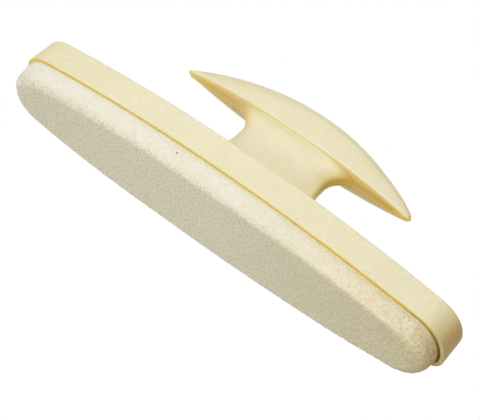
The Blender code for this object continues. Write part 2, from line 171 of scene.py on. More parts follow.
class NAILBUFFER_PG_stage(bpy.types.PropertyGroup):
    """Camera, floor and lamps"""

    azimuth: angle("Azimuth", "Camera's turn round the buffer", 26.1345)
    elevation: angle("Elevation", "Camera's height over the horizon, below it when negative", -24.1601)
    roll: angle("Roll", "Camera's turn about its own view", 45.8599)
    distance: length("Distance", "From the camera to the plane of the lip", 1.305175)
    shift_right: length("Right", "Offset of the camera to its right", 0.002156)
    focal_length: bpy.props.FloatProperty(
        name="Focal length", description="In millimetres on a 36 mm sensor", default=385.478, min=1.0
    )
    key: brightness("Key", "Light from the front, as a share of full exposure", 0.79)
    top: brightness("Top", "Light from above", 0.40)
    ambient: brightness("Ambient", "Light from all round", 0.34)
    floor: colour("Floor", "Colour of the floor", (0.86, 0.86, 0.85))


def sizes(context, *names):
    """The property groups with those names."""
    return [getattr(context.scene, "nail_buffer_" + name) for name in names]


# Shapes


def eased(value, low, high):
    part = np.clip((value - low) / (high - low), 0.0, 1.0)
    return part * part * (3 - 2 * part)


def signed_power(value, power):
    return np.copysign(np.abs(value) ** power, value)


def circle(steps, start=0.0):
    """Cosines and sines of even steps round a circle."""
    turns = 2 * math.pi * (np.arange(steps) + start) / steps
    return np.cos(turns), np.sin(turns)


def rounded_oval(half_length, half_width, power, steps):
    c, s = circle(steps)
    return np.column_stack([half_length * signed_power(c, 2 / power), half_width * signed_power(s, 2 / power)])


def oval_point(part, power):
    """A point on the quarter of a rounded oval of unit size, from its end at X to its side at Y."""
    turn = QUARTER * np.asarray(part, float)
    return np.cos(turn) ** (2 / power), np.sin(turn) ** (2 / power)


def round_off(radius, steps):
    """Offsets along and up a quarter round, from its flat end to its upright end."""
    turns = [QUARTER * i / steps for i in range(steps + 1)]
    return [(radius * (1 - math.sin(a)), radius * (1 - math.cos(a))) for a in turns]


def raised(outline, level):
    """An outline in plan, set at its level."""
    return np.column_stack([outline, np.broadcast_to(level, len(outline))])


def turned(profile, place, steps):
    """Rings of a turned shape from radius and height pairs. A radius may change round its ring."""
    unit = np.column_stack(circle(steps))
    return [raised(unit * np.broadcast_to(radius, steps)[:, None], level) + place for radius, level in profile]


def run_along(along, up):
    """Distance from the first point to each point of a curve."""
    return np.concatenate([[0.0], np.cumsum(np.hypot(np.diff(along), np.diff(up)))])


class Plan:
    """The tray's outline from above, sampled evenly, and the same places on outlines inside it."""

    FINE = 600
    FEWEST = 4

    def __init__(self, tray, spacing):
        self.length, self.width, self.cap = tray.length, tray.width, tray.cap_length
        self.end_half = tray.end_width / 2
        self.bow = tray.width / 2 - self.end_half
        fine = np.linspace(0.0, 1.0, self.FINE)
        along, across = oval_point(fine, CAP_POWER)
        run = run_along(along * self.cap, across * self.end_half)
        number = max(self.FEWEST, round(run[-1] / spacing))
        parts = np.interp(np.arange(number) / number * run[-1], run, fine)
        self.along, self.across = oval_point(parts, CAP_POWER)
        number = max(self.FEWEST, round((self.length / 2 - self.cap) / spacing))
        self.side = 1 - np.arange(number) / number

    def half_width(self, x, inset, fullness=0.0):
        return self.width / 2 - (self.bow - fullness) * np.abs(x / (self.length / 2)) ** BOW_POWER - inset

    def ring(self, inset, level, shortening=0.0, fullness=0.0):
        """The outline moved inwards, anticlockwise from the end at +X."""
        cap = self.cap * (1 - inset / self.end_half)
        start = self.length / 2 - shortening - inset - cap
        x = np.concatenate([start + cap * self.along, start * self.side])
        y = self.half_width(x, inset, fullness) * np.concatenate([self.across, np.ones(len(self.side))])
        x = np.concatenate([x, [0.0], -x[::-1]])
        y = np.concatenate([y, [self.half_width(0.0, inset)], y[::-1]])
        x, y = np.concatenate([x, x[-2:0:-1]]), np.concatenate([y, -y[-2:0:-1]])
        return raised(np.column_stack([x, y]), level)


def filling(ring, rows):
    """Rings from the given one inwards to the line along its middle."""
    spine = ring * (FILLING_REACH, 0.0, 1.0)
    return [ring + (spine - ring) * (i / rows) for i in range(1, rows + 1)]


def filled(rings, first_rows, last_rows):
    """The stack of rings with a filling at both ends."""
    return filling(rings[0], first_rows)[::-1] + rings + filling(rings[-1], last_rows)


def placed(name, data):
    """A new object in the scene."""
    obj = bpy.data.objects.new(name, data)
    bpy.context.scene.collection.objects.link(obj)
    return obj


def mesh_of(name, points, faces):
    """A mesh object from its points and faces."""
    mesh = bpy.data.meshes.new(name)
    mesh.from_pydata(points, [], faces)
    return placed(name, mesh)


def formed(name, form):
    """A mesh object from a bmesh, which is used up."""
    mesh = bpy.data.meshes.new(name)
    form.to_mesh(mesh)
    form.free()
    return placed(name, mesh)


def block(form, middle, size, turn=0.0):
    """Adds a block to a bmesh and gives its corners."""
    matrix = Matrix.Translation(middle) @ Matrix.Rotation(turn, 4, "Z") @ Matrix.Diagonal((*size, 1.0))
    return bmesh.ops.create_cube(form, size=1.0, matrix=matrix)["verts"]


def skin(name, rings):
    """A mesh object over a stack of rings of one count."""
    number = len(rings[0])
    first = np.arange(number)
    second = np.roll(first, -1)
    row = np.column_stack([first, second, second + number, first + number])
    faces = [row + i * number for i in range(len(rings) - 1)]
    return mesh_of(name, np.concatenate(rings).tolist(), np.concatenate(faces).tolist())


def tidy(obj, sharp=SMOOTH_ANGLE):
    """Welds what meets, turns the faces outwards and shades the piece smooth but for its sharp edges."""
    form = bmesh.new()
    form.from_mesh(obj.data)
    bmesh.ops.remove_doubles(form, verts=form.verts, dist=WELD)
    bmesh.ops.dissolve_degenerate(form, dist=WELD, edges=form.edges)
    bmesh.ops.recalc_face_normals(form, faces=form.faces)
    form.to_mesh(obj.data)
    form.free()
    obj.data.shade_smooth()
    obj.data.set_sharp_from_angle(angle=sharp)
    return obj


def settled(obj):
    """Applies the piece's modifiers."""
    bpy.context.view_layer.update()
    shaped = obj.evaluated_get(bpy.context.evaluated_depsgraph_get())
    mesh = bpy.data.meshes.new_from_object(shaped)
    old = obj.data
    obj.modifiers.clear()
    obj.data = mesh
    bpy.data.meshes.remove(old)
    mesh.name = obj.name
    return obj


def cut(obj, tool, operation):
    """Adds or takes away a tool's shape, and the tool with it."""
    step = obj.modifiers.new(operation.lower(), "BOOLEAN")
    step.operation, step.solver, step.object = operation, "EXACT", tool
    settled(obj)
    bpy.data.objects.remove(tool)


def even_faces(obj):
    """Lets the broad flat faces decide the shading where they meet a round."""
    obj.modifiers.new("weighted", "WEIGHTED_NORMAL").keep_sharp = True
    return obj


def swept(name, path, section, sharp=SMOOTH_ANGLE):
    """A closed bar along an upright path over X. Its section is given outwards from the path and along Y."""
    ahead = np.gradient(path[:, [0, 2]], axis=0)
    ahead /= np.linalg.norm(ahead, axis=1)[:, None]
    rings = []
    for point, (run, rise) in zip(path, ahead):
        rings.append(point + [(rise * out, across, -run * out) for out, across in section])
    ends = [np.repeat(ring.mean(0)[None], len(section), 0) for ring in (rings[0], rings[-1])]
    return tidy(skin(name, [ends[0], *rings, ends[1]]), sharp)


# Finishes


class Nodes:
    """A node tree, and short ways to add its nodes."""

    def __init__(self, tree):
        self.tree = tree

    def node(self, kind, inputs=(), **settings):
        made = self.tree.nodes.new("ShaderNode" + kind)
        for key, value in settings.items():
            setattr(made, key, value)
        for key, value in dict(inputs).items():
            if isinstance(value, bpy.types.NodeSocket):
                self.tree.links.new(value, made.inputs[key])
            else:
                made.inputs[key].default_value = value
        return made

    def split(self, vector):
        return self.node("SeparateXYZ", {"Vector": vector}).outputs

    def span(self, value, low, high, to_low=0.0, to_high=1.0):
        inputs = {"Value": value, "From Min": low, "From Max": high, "To Min": to_low, "To Max": to_high}
        return self.node("MapRange", inputs).outputs["Result"]

    def sum(self, operation, first, *others):
        """One sum after another, each with what came out of the one before."""
        for other in others:
            first = self.node("Math", {0: first, 1: other}, operation=operation).outputs["Value"]
        return first

    def times(self, *values):
        return self.sum("MULTIPLY", *values)

    def most(self, *values):
        return self.sum("MAXIMUM", *values)

    def unsigned(self, value):
        return self.sum("ABSOLUTE", value, 0.0)

    def mix(self, factor, first, second, blend="MIX"):
        """A blend of two colours."""
        tones = [tone if isinstance(tone, bpy.types.NodeSocket) else (*tone, 1.0) for tone in (first, second)]
        inputs = {0: factor, 6: tones[0], 7: tones[1]}
        return self.node("Mix", inputs, data_type="RGBA", blend_type=blend).outputs[2]

    def tinged(self, body, *tinges):
        """The body's colour, multiplied by each tint as far as its mask says."""
        for mask, tint in tinges:
            body = self.mix(mask, body, tint, "MULTIPLY")
        return body


# Painted shade and painted glow in the gap between leather and lip: golden, turning amber towards the right end
PAINTED_GAP_GOLD = (0.72, 0.575, 0.145)
PAINTED_GAP_AMBER = (0.58, 0.32, 0.05)
# Painted amber shade under the handle's grip and on the sides of its neck, paler at the rim; the right-hand tone
# also colours the painted glow at the foot
PAINTED_AMBER_RIM = (0.77, 0.65, 0.28)
PAINTED_AMBER_LEFT = (0.61, 0.445, 0.135)
PAINTED_AMBER_RIGHT = (0.55, 0.375, 0.070)
BLACK = (0.0, 0.0, 0.0)
WHITE = (1.0, 1.0, 1.0)
# The stretches along the buffer over which painted shade changes towards its ends
LEFT_END_SHADING = (-0.035, -0.060)
RIGHT_END_SHADING = (0.052, 0.068)
# A fleck of dirt caught in the nap: its place, its reach and its colour
SPECK = (-0.0150, -0.0150, 0.0038)
SPECK_REACH = (0.0004, 0.003, 0.0004)
SPECK_TONE = (0.42, 0.38, 0.30)


class Finish(Nodes):
    """A material with its shader, and the masks and looks of this buffer's surfaces."""

    def __init__(self, name, constants):
        self.material = bpy.data.materials.new(name)
        self.material.use_nodes = True
        super().__init__(self.material.node_tree)
        self.shader = self.tree.nodes["Principled BSDF"]
        for socket, value in constants.items():
            self.shader.inputs[socket].default_value = value
        self.place = self.node("TexCoord").outputs["Object"]

    def link(self, value, socket):
        self.tree.links.new(value, self.shader.inputs[socket])

    def noise(self, size, detail=3.0, stretch=None, roughness=0.5, distortion=0.0):
        """Noise whose blots are about that size, in metres, and longer along the axes with a low stretch."""
        place = self.place
        if stretch:
            place = self.node("Mapping", {"Vector": place, "Scale": stretch}).outputs["Vector"]
        inputs = {"Vector": place, "Scale": 1 / size, "Detail": detail}
        return self.node("TexNoise", {**inputs, "Roughness": roughness, "Distortion": distortion}).outputs["Fac"]

    def clouds(self, size, darker, paler):
        """Broad faint clouds of two tones."""
        return self.mix(self.span(self.noise(size, 2.0), 0.35, 0.65), darker, paler)

    def level_lines(self, value, width):
        """Thin lines where the value passes one half."""
        return self.span(self.unsigned(self.sum("SUBTRACT", value, 0.5)), width, 0.0)

    def within(self, middle, reach):
        """One at the middle of a soft-edged region and nought outside it."""
        away = self.place
        for operation, by in (("SUBTRACT", middle), ("DIVIDE", reach)):
            away = self.node("VectorMath", {0: away, 1: by}, operation=operation).outputs["Vector"]
        return self.span(self.node("VectorMath", {0: away}, operation="LENGTH").outputs["Value"], 1.0, 0.7)

    def occlusion_shade(self, reach, open_share, deep_share):
        """Ambient occlusion as a mask for painted shade: one deep in a hollow and nought in the open, as far as
        that reach.
        """
        seen = self.node("AmbientOcclusion", {"Distance": reach}, samples=12).outputs["AO"]
        return self.span(seen, open_share, deep_share)

    def along(self, start, end, at_start=0.0, at_end=1.0):
        """A change from one place along the buffer to another."""
        return self.span(self.split(self.place)["X"], start, end, at_start, at_end)

    def upwards(self, low, high):
        """A change from one level to another."""
        return self.span(self.split(self.place)["Z"], low, high)

    def facing(self, axis):
        """The share of the surface's direction along one axis."""
        return self.split(self.node("NewGeometry").outputs["Normal"])[axis]

    def turned_to(self, axis, low, high):
        return self.span(self.facing(axis), low, high)

    def turned_to_ends(self, low, high):
        return self.span(self.unsigned(self.facing("X")), low, high)

    def turned_away(self):
        """One on faces turned to an end or down, nought on those turned to a side or up; it marks where amber
        shade is painted.
        """
        return self.span(self.most(self.unsigned(self.facing("Y")), self.facing("Z")), 0.75, 0.30)

    def glow(self, share, tone):
        """Painted light: an emission that stands in for light coming through the plastic into a hollow."""
        self.link(self.mix(share, BLACK, tone), "Emission Color")
        self.shader.inputs["Emission Strength"].default_value = 1.0

    def paint_gap_shade(self, body, deep):
        """The body's colour with painted shade, golden deep in the gap between leather and lip and amber towards
        the right end, and a painted glow there that stands in for light coming through the wall.
        """
        right = self.along(*RIGHT_END_SHADING)
        self.link(self.mix(deep, body, self.mix(right, PAINTED_GAP_GOLD, PAINTED_GAP_AMBER)), "Base Color")
        share = self.times(deep, self.span(right, 0.0, 1.0, 1.0, 0.25), self.along(-0.010, 0.025, 0.125, 0.16))
        self.glow(share, PAINTED_GAP_GOLD)

    def rough(self, value, low, high):
        self.link(self.span(value, 0.3, 0.7, low, high), "Roughness")

    def relief(self, height, depth):
        """A bump whose full height is that depth, in metres."""
        bump = self.node("Bump", {"Height": height, "Distance": depth, "Strength": 1.0})
        self.link(bump.outputs["Normal"], "Normal")


def tinted(tone, *factors):
    if len(factors) == 1:
        factors *= 3
    return tuple(min(1.0, value * factor) for value, factor in zip(tone, factors))


def ivory_clouds(made, tone, size):
    return made.clouds(size, tinted(tone, 0.985, 0.975, 0.95), tinted(tone, 1.012, 1.012, 1.03))


def ivory_satin(tone):
    """Satin moulded plastic: a fine eroded grain and faint clouds of tone, with painted shade on its ends and
    under the lip at the right end, and painted golden shade and a painted glow in the gap under the lip.
    """
    made = Finish("ivory_satin", {"Roughness": 0.5, "Specular IOR Level": 0.35})
    grain = made.noise(0.0006, 2.0, distortion=0.6)
    worms = made.level_lines(made.noise(0.0017, 1.0, distortion=0.8), 0.05)
    body = ivory_clouds(made, tone, 0.009)
    body = made.mix(made.span(grain, 0.50, 0.70), body, tinted(tone, 0.965, 0.945, 0.87))
    body = made.mix(worms, body, tinted(tone, 1.03, 1.05, 1.16))
    # Painted shade: darker and warmer on faces turned to the ends, darker towards the left end and yellower on
    # the down-turned faces at the right end
    body = made.tinged(
        body,
        (made.turned_to_ends(0.2, 0.8), (1.0, 0.93, 0.74)),
        (made.turned_to_ends(0.8, 1.0), (0.90, 0.80, 0.62)),
        (made.along(*LEFT_END_SHADING), (0.965, 0.95, 0.92)),
        (made.times(made.along(*RIGHT_END_SHADING), made.turned_to("Z", -0.2, -0.6)), (0.92, 0.93, 0.66)),
    )
    # Painted golden shade and painted glow in the gap between leather and lip: deep in hollows and on the lip's
    # down-turned faces
    lean = made.sum("ADD", made.facing("Z"), made.along(0.005, 0.030, -0.30, 0.0))
    below = made.times(made.span(lean, -0.3, -0.8), made.along(0.058, 0.067, 0.85, 0.30))
    made.paint_gap_shade(body, made.most(made.occlusion_shade(0.003, 0.80, 0.40), below))
    made.rough(grain, 0.44, 0.56)
    made.relief(made.sum("ADD", made.times(grain, 0.5), worms), 0.00003)
    return made.material


def ivory_gloss(tone, rim):
    """Polished moulded plastic: hairline flow marks and handling haze, with painted amber shade under the grip
    and on the neck's sides, painted light and shade on the dome and neck, and a painted glow at the foot.
    """
    made = Finish("ivory_gloss", {"Roughness": 0.3, "Specular IOR Level": 0.25})
    veins = made.level_lines(made.noise(0.0040, 1.5, (0.35, 1.0, 1.2), distortion=0.8), 0.014)
    veins = made.times(veins, made.within((0.001, -0.004, 0.0272), (0.012, 0.006, 0.0045)))
    ripples = made.level_lines(made.noise(0.0024, 1.0, (0.30, 1.0, 1.4), distortion=0.6), 0.02)
    ripples = made.times(ripples, made.within((0.0035, -0.004, 0.0365), (0.007, 0.006, 0.0035)))
    marks = made.most(veins, ripples)
    body = made.mix(made.times(marks, 0.6), ivory_clouds(made, tone, 0.012), tinted(tone, 0.88, 0.78, 0.55))
    # Painted amber shade: on faces turned to the ends or down, strongest under the wings of the grip and paler at
    # the rim; a thin line along the keel's seam gets a little less of it
    wings = made.most(made.along(-0.012, -0.021), made.along(0.008, 0.016))
    middle = made.span(made.unsigned(made.split(made.place)["Y"]), 0.00034, 0.00022)
    seam = made.times(middle, made.turned_to("Z", 0.2, 0.0))
    away = made.times(made.most(made.turned_away(), seam), made.span(wings, 0.0, 1.0, 0.35, 1.0))
    amber = made.mix(made.along(-0.030, 0.015), PAINTED_AMBER_LEFT, PAINTED_AMBER_RIGHT)
    amber = made.mix(made.upwards(rim - 0.0003, rim), amber, PAINTED_AMBER_RIM)
    # Painted light and shade: golden high on the neck's ends, warmer on faces turned to the ends, darker on the
    # dome's upper faces but lighter on its crest, darker on its left half, yellower on upturned faces below the
    # rim, lighter low on the neck and darker just under the rim
    ends = made.turned_to_ends(0.25, 0.8)
    dome = made.upwards(rim, rim + 0.0005)
    under = made.times(made.upwards(rim - 0.0020, rim - 0.0006), made.turned_to("Z", 0.05, -0.25))
    body = made.tinged(
        body,
        (made.times(ends, made.upwards(0.0240, 0.0290)), (0.95, 0.82, 0.38)),
        (ends, (1.0, 0.97, 0.88)),
        (made.times(dome, made.turned_to("Z", 0.0, 0.45)), (0.95, 0.93, 0.81)),
        (made.times(dome, made.turned_to("Z", 0.55, 0.95)), (1.09, 1.06, 0.97)),
        (made.times(dome, made.along(0.0, -0.020)), (0.965, 0.95, 0.90)),
        (made.times(made.span(dome, 1.0, 0.0), made.turned_to("Z", 0.25, 0.65)), (1.0, 0.99, 0.84)),
        (made.upwards(0.0250, 0.0190), (1.07, 1.05, 0.98)),
        (made.times(under, made.upwards(rim + 0.0002, rim - 0.0001)), (0.90, 0.87, 0.72)),
    )
    made.link(made.mix(made.sum("SUBTRACT", away, made.times(seam, 0.15)), body, amber), "Base Color")
    # Painted glow on the lower neck and foot's faces turned to the right, and faintly where amber shade is
    # painted
    foot = made.times(made.turned_to("X", 0.05, 0.6), made.upwards(0.0300, 0.0210))
    share = made.most(made.times(away, 0.07), made.times(foot, 0.24))
    made.glow(share, made.mix(foot, PAINTED_AMBER_RIGHT, (0.90, 0.80, 0.42)))
    made.rough(made.noise(0.006, 2.0), 0.28, 0.32)
    made.relief(made.sum("SUBTRACT", 1.0, marks), 0.00002)
    return made.material


def napped_chamois(tone):
    """Napped leather: matted curls, paler tips, yellow flecks down in the nap and darker pits in the working
    face, with painted light and shade towards its ends, between its curls and in the gap under the lip.
    """
    made = Finish("chamois", {"Roughness": 0.95, "Sheen Weight": 0.25, "Sheen Roughness": 0.5})
    fine = made.noise(0.00038, 3.0, roughness=0.7)
    coarse = made.noise(0.00062, 2.0, roughness=0.7)
    curl = made.noise(0.0013, 3.0, distortion=0.8)
    patches = made.span(made.noise(0.006, 3.0), 0.35, 0.65)
    right = made.along(0.0, 0.065)
    below = made.turned_to("Z", -0.55, -0.95)
    body = made.mix(patches, tinted(tone, 0.98, 0.975, 0.95), tinted(tone, 1.02, 1.02, 1.04))
    for mask, tint in (
        (made.times(made.span(fine, 0.51, 0.35), made.span(below, 0.0, 1.0, 0.85, 1.0)), (0.90, 0.83, 0.57)),
        (made.span(fine, 0.52, 0.66), (1.03, 1.055, 1.15)),
        (made.times(made.span(made.noise(0.0009, 2.0), 0.66, 0.74), 0.5), (0.90, 0.76, 0.48)),
    ):
        body = made.mix(mask, body, tinted(tone, *tint))
    pits = made.times(made.span(right, 0.0, 1.0, 1.0, 0.5), made.span(coarse, 0.53, 0.44))
    # Painted light and shade: warmer and darker towards the right end with golden shade between its curls, the
    # working face lighter but darker towards the right end, the right end's faces turned to the end lighter, and
    # all darker towards the left end; the pits are the working face's own darker texture
    body = made.tinged(
        body,
        (right, (1.0, 0.955, 0.815)),
        (made.times(right, made.span(curl, 0.50, 0.36)), (0.97, 0.92, 0.78)),
        (made.times(right, below), (0.795, 0.795, 0.785)),
        (made.times(below, pits), (0.76, 0.75, 0.69)),
        (below, (1.12, 1.12, 1.06)),
        (made.times(right, made.turned_to_ends(0.2, 0.8)), (1.07, 1.06, 1.0)),
        (made.along(*LEFT_END_SHADING), (0.965, 0.965, 0.965)),
    )
    body = made.mix(made.within(SPECK, SPECK_REACH), body, SPECK_TONE)
    # Painted golden shade and painted glow deep in the gap under the lip
    made.paint_gap_shade(body, made.occlusion_shade(0.0025, 0.50, 0.25))
    curled = made.times(curl, made.along(-0.020, 0.060, 0.1, 0.5))
    made.relief(made.sum("ADD", made.times(fine, made.along(0.020, 0.060, 0.85, 0.55)), curled), 0.00030)
    return made.material


def wool_felt(tone):
    """Pressed felt: short fibres in every direction."""
    made = Finish("wool_felt", {"Roughness": 1.0, "Sheen Weight": 0.3})
    fibres = made.noise(0.0006, 5.0, (0.4, 1.0, 1.0), distortion=2.0)
    made.link(made.mix(made.span(fibres, 0.3, 0.7), tinted(tone, 0.82), tinted(tone, 1.1)), "Base Color")
    made.relief(fibres, 0.0001)
    return made.material


def beech_board(tone):
    """Sawn beech: long grain, short dark flecks and a little saw fuzz."""
    made = Finish("beech_board", {"Roughness": 0.62})
    grain = made.noise(0.0016, 5.0, (0.06, 1.0, 1.0), distortion=0.8)
    body = made.mix(made.span(grain, 0.3, 0.7), tinted(tone, 0.78, 0.72, 0.64), tinted(tone, 1.15, 1.12, 1.08))
    flecks = made.noise(0.0005, 1.0, (0.22, 1.0, 1.0))
    made.link(made.mix(made.span(flecks, 0.64, 0.70), body, tinted(tone, 0.55, 0.45, 0.36)), "Base Color")
    made.rough(grain, 0.70, 0.55)
    made.relief(made.sum("ADD", grain, flecks), 0.00006)
    return made.material


def plated_steel():
    """Zinc-plated steel: drawing lines and dull patches."""
    made = Finish("plated_steel", {"Roughness": 0.30, "Metallic": 1.0})
    patches = made.noise(0.0012, 3.0)
    made.link(made.mix(made.span(patches, 0.35, 0.65), (0.50, 0.50, 0.48), (0.68, 0.68, 0.66)), "Base Color")
    made.rough(patches, 0.24, 0.42)
    made.relief(made.noise(0.00015, 3.0), 0.000006)
    return made.material


def dressed(obj, finish, slot, body, *nodes):
    """Gives a piece its finish, hangs it on the body that it moves with and hides the packed parts that it stands
    for.
    """
    obj.data.materials.clear()
    obj.data.materials.append(finish)
    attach(obj, body)
    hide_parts(*nodes)


# Pieces


def draft_inset(tray, level):
    """How far the tray's wall leans in at a level above the lip."""
    return tray.draft * (level - tray.lip_level) / (tray.top_level - tray.lip_level)


class NAILBUFFER_OT_tray(bpy.types.Operator):
    """Build the satin ivory tray with its ribs and screw holes"""

    bl_idname = "nail_buffer.tray"
    bl_label = "Tray"

    SPACING = 0.0009
    FLAT_ROWS = 8
    EDGE_STEPS = 8
    LIP_STEPS = 5
    END_DRAFT = 0.0006
    BEAD = 0.0002
    END_BEAD = 0.0001
    BEAD_HEIGHT = 0.0009
    BEAD_RUN = 4
    RIB_PLACES = (-2, -1, 1, 2)
    RIB_SEAT = 0.0003
    RIB_MARGIN = 0.0008
    RIB_BEVEL = 0.25
    HEAD_RADIUS = 0.0031
    HEAD_RIM = 0.0002
    HOLE_RADIUS = 0.00175
    HOLE_START = 0.0016
    HOLE_STEPS = 64
    OVERRUN = 0.0010

    def execute(self, context):
        tray, handle, pad = sizes(context, "tray", "handle", "pad")
        plan = Plan(tray, self.SPACING)
        lip, ceiling = tray.lip_level, tray.top_level - tray.roof
        rings = [self.outside(tray, plan, 1.5 * tray.edge_radius, tray.top_level)]
        for along, down in round_off(tray.edge_radius, self.EDGE_STEPS):
            rings.append(self.outside(tray, plan, along, tray.top_level - down))
        for part in (0.25, 0.5, 0.75):
            level = rings[-1][0][2] * (1 - part) + (lip + tray.lip_radius) * part
            rings.append(self.outside(tray, plan, 0.0, level))
        rounding = round_off(tray.lip_radius, self.LIP_STEPS)
        rings += [plan.ring(along, lip + up) for along, up in rounding[::-1]]
        bead = tray.wall + self.BEAD
        rings += [plan.ring(bead - along, lip + up, self.END_BEAD) for along, up in rounding[1:]]
        for part in (0.0, 0.5, 1.0):
            level = lip + self.BEAD_HEIGHT + self.BEAD * self.BEAD_RUN * part
            thinner = eased(part, 0.0, 1.0)
            rings.append(plan.ring(bead - self.BEAD * thinner, level, self.END_BEAD * (1 - thinner)))
        for along, down in round_off(tray.pocket_fillet, self.LIP_STEPS)[::-1]:
            rings.append(self.inside(tray, plan, along, ceiling - down))
        rings.append(self.inside(tray, plan, 2 * tray.pocket_fillet, ceiling))
        shell = tidy(skin("tray_moulding", filled(rings, self.FLAT_ROWS, self.FLAT_ROWS)))
        self.add_ribs(tray, pad, plan, shell, ceiling)
        self.cut_holes(handle, shell, ceiling, tray.top_level)
        even_faces(tidy(shell))
        dressed(shell, ivory_satin(tray.plastic), "ivory_satin", UPPER, "tray")
        return {"FINISHED"}

    def outside(self, tray, plan, inset, level):
        """The outer wall, which leans in a little more towards its ends."""
        inwards = draft_inset(tray, level)
        more = self.END_DRAFT * inwards / tray.draft
        return plan.ring(inwards + inset, level, more / 4, -more)

    def inside(self, tray, plan, inset, level):
        return plan.ring(tray.wall + draft_inset(tray, level) + inset, level)

    def add_ribs(self, tray, pad, plan, shell, ceiling):
        form = bmesh.new()
        low = BOARD_HIGH.z + self.RIB_SEAT
        inset = tray.wall + draft_inset(tray, LEATHER_TOP) + pad.clearance + pad.hem + self.RIB_MARGIN
        half = tray.rib_thickness / 2
        for place in self.RIB_PLACES:
            x = place * tray.rib_spacing
            reach = float(plan.half_width(abs(x) + half, inset))
            size = Vector((2 * half, 2 * reach, ceiling + tray.roof / 2 - low))
            corners = block(form, (x, 0.0, low + size.z / 2), size)
            edges = {
                edge for corner in corners for edge in corner.link_edges
                if max(end.co.z for end in edge.verts) < low + WELD
                or abs(edge.verts[0].co.z - edge.verts[1].co.z) > WELD
            }
            offset = self.RIB_BEVEL * tray.rib_thickness
            bmesh.ops.bevel(form, geom=list(edges), offset=offset, segments=4, affect="EDGES", profile=0.5)
        cut(shell, formed("ribs", form), "UNION")

    def cut_holes(self, handle, shell, ceiling, top):
        low, high = ceiling - self.OVERRUN, top + self.OVERRUN
        profile = [
            (0.0, low), (self.HEAD_RADIUS, low), (self.HEAD_RADIUS, ceiling + self.HEAD_RIM),
            (self.HOLE_RADIUS, ceiling + self.HOLE_START), (self.HOLE_RADIUS, high), (0.0, high),
        ]
        for side in (-1, 1):
            rings = turned(profile, (side * handle.screw_spacing / 2, 0.0, 0.0), self.HOLE_STEPS)
            cut(shell, tidy(skin("hole", rings)), "DIFFERENCE")


